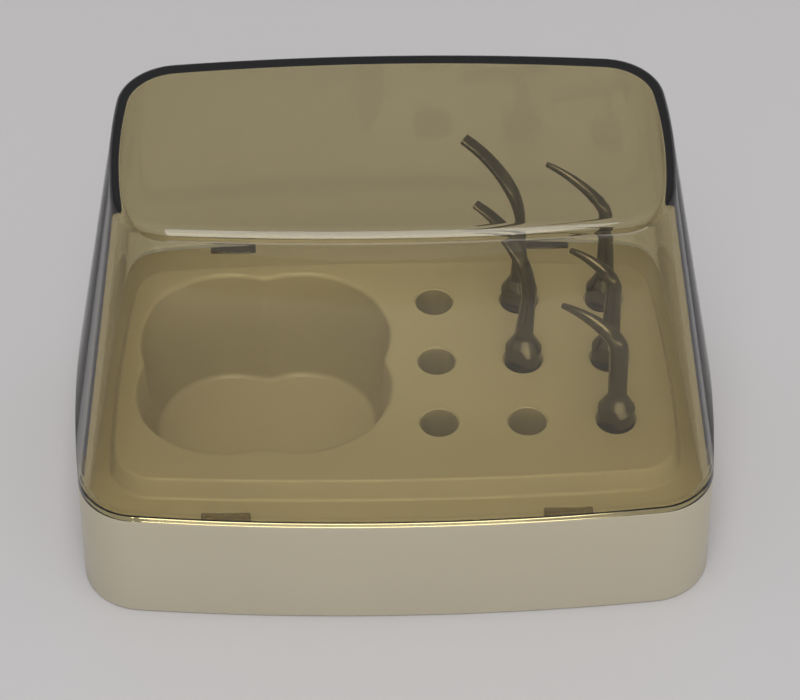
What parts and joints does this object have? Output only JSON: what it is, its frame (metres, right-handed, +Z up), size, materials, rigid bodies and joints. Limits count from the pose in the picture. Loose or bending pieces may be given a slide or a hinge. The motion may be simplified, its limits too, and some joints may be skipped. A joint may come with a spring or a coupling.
{
  "type": "scaler tip box",
  "caption": "Desk-top box for ultrasonic scaler tips: moulded base with a lobed well and round sockets, bent steel tips, clear tinted lid that lifts off.",
  "frame": {"origin": "centre of the base's foot, on the table", "axes": "+X along the long side to the sockets' end, +Y to the back, +Z up"},
  "size_m": [0.0924, 0.0616, 0.061],
  "materials": {
    "base_plastic": "satin moulded beige",
    "lid_plastic": "polished, transparent, smoked brown tint",
    "tip_steel": "polished and turned"
  },
  "bodies": {
    "base": {"base_tray": "base_plastic", "chisel_tip_back": "tip_steel", "chisel_tip_middle": "tip_steel", "pointed_tip_back": "tip_steel", "pointed_tip_middle": "tip_steel", "pointed_tip_front": "tip_steel"},
    "lid": {"lid": "lid_plastic"}
  },
  "joints": [
    {"name": "lid_lift", "type": "slide", "parent": "base", "child": "lid", "axis": [0, 0, 1], "range_m": [0, 0.045]}
  ]
}
